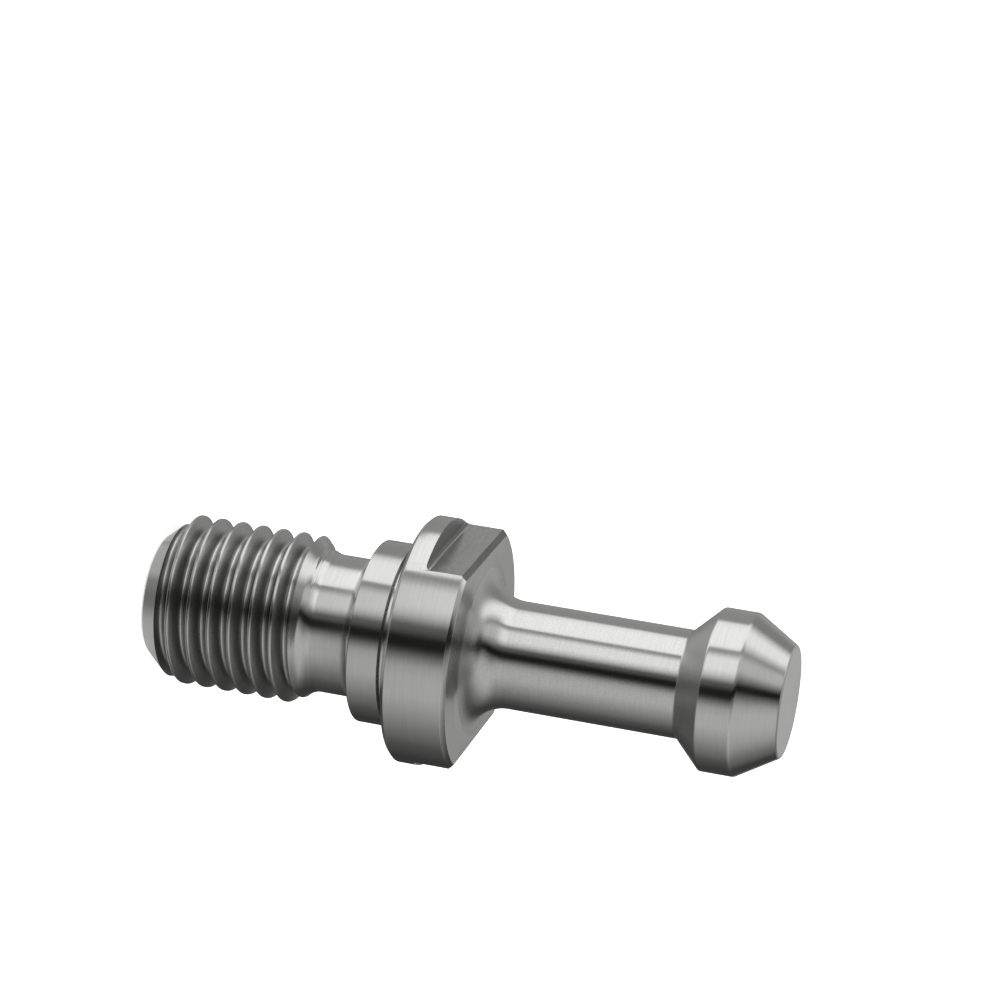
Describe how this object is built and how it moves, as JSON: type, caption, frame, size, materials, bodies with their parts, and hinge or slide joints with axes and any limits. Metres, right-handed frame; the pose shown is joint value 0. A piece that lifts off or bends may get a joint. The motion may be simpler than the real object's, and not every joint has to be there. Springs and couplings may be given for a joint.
{
  "type": "pull stud",
  "caption": "One-piece steel pull stud: a conical head on a slim neck, a flange with wrench flats, a pilot and a threaded shank.",
  "frame": {"origin": "centre of the flange's seating face, on the stud's axis", "axes": "+Z along the axis from the thread to the head, wrench flats facing +X and -X"},
  "size_m": [0.023, 0.023, 0.06],
  "materials": {
    "ground_steel": "turned and ground, bright"
  },
  "bodies": {
    "root": {"pull_stud": "ground_steel"}
  },
  "joints": []
}
